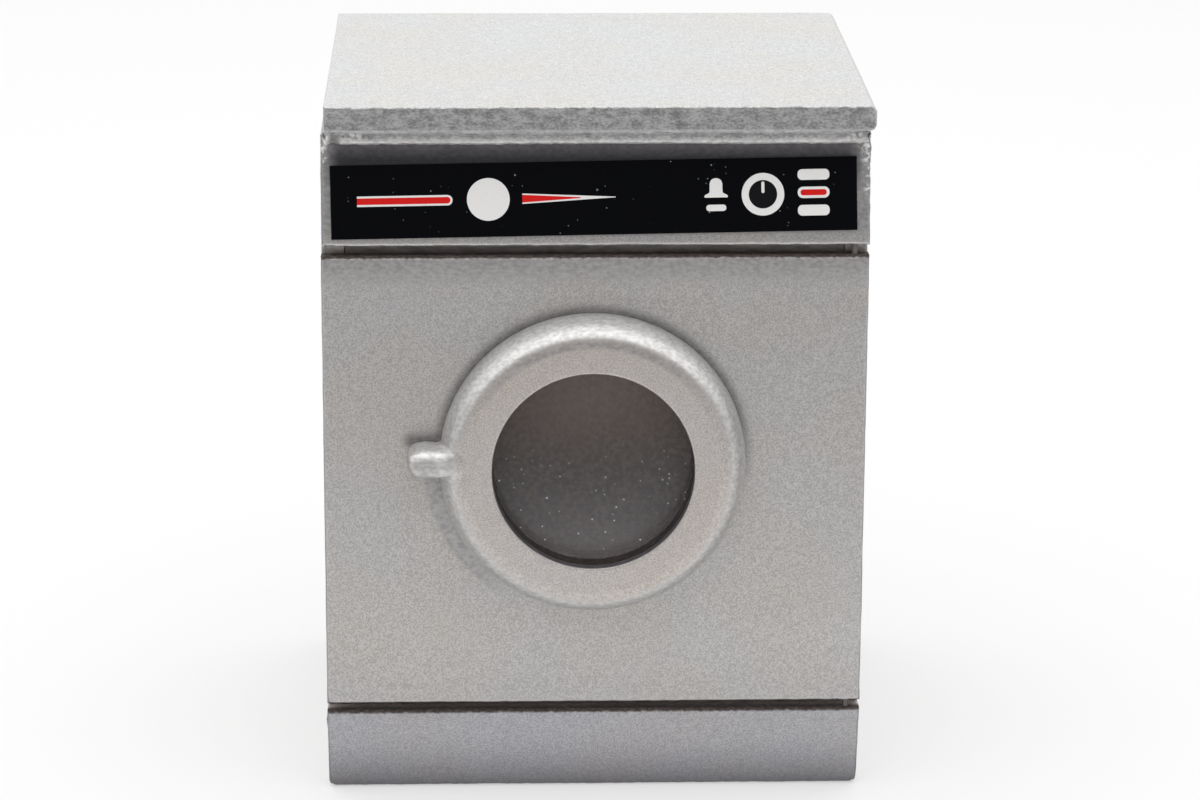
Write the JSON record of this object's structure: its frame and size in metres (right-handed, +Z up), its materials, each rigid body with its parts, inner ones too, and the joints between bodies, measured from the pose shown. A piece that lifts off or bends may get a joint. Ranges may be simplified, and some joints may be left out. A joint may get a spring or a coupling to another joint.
{
  "type": "toy washing machine",
  "caption": "Front-loading toy washing machine in doll's house size, with a leaning control board and a front board that swings open with its porthole.",
  "frame": {"origin": "middle of the footprint, on the surface the toy stands on", "axes": "+Z up, -Y towards the front with the porthole, +X to the right as seen from the front"},
  "size_m": [0.0604, 0.0598, 0.0793],
  "materials": {
    "silver_board": "thin fibre board sprayed with fine metallic silver paint, rough at the cut edges",
    "raw_board": "bare brown fibre board",
    "charred_board": "fibre board with a dark burnt cut edge",
    "label_film": "black printed film",
    "silver_casting": "cast ring sprayed with fine metallic silver paint",
    "clear_sheet": "clear glossy sheet",
    "pin_steel": "darkened steel wire pin"
  },
  "bodies": {
    "carcass": {"worktop": "silver_board", "worktop_underlay": "silver_board", "left_side": "silver_board", "right_side": "silver_board", "back_panel": "silver_board", "compartment_floor": "raw_board", "compartment_ceiling": "raw_board", "kick_board": "silver_board", "control_board": "silver_board", "control_label": "label_film", "lower_hinge_pin": "pin_steel", "upper_hinge_pin": "pin_steel"},
    "door": {"door_board": "silver_board", "porthole_ring": "silver_casting", "window_spacer": "charred_board", "window_pane": "clear_sheet"}
  },
  "joints": [
    {"name": "door_hinge", "type": "hinge", "parent": "carcass", "child": "door", "pos_m": [0.02824, -0.02429, 0], "axis": [0, 0, 1], "range_deg": [0, 105]}
  ]
}
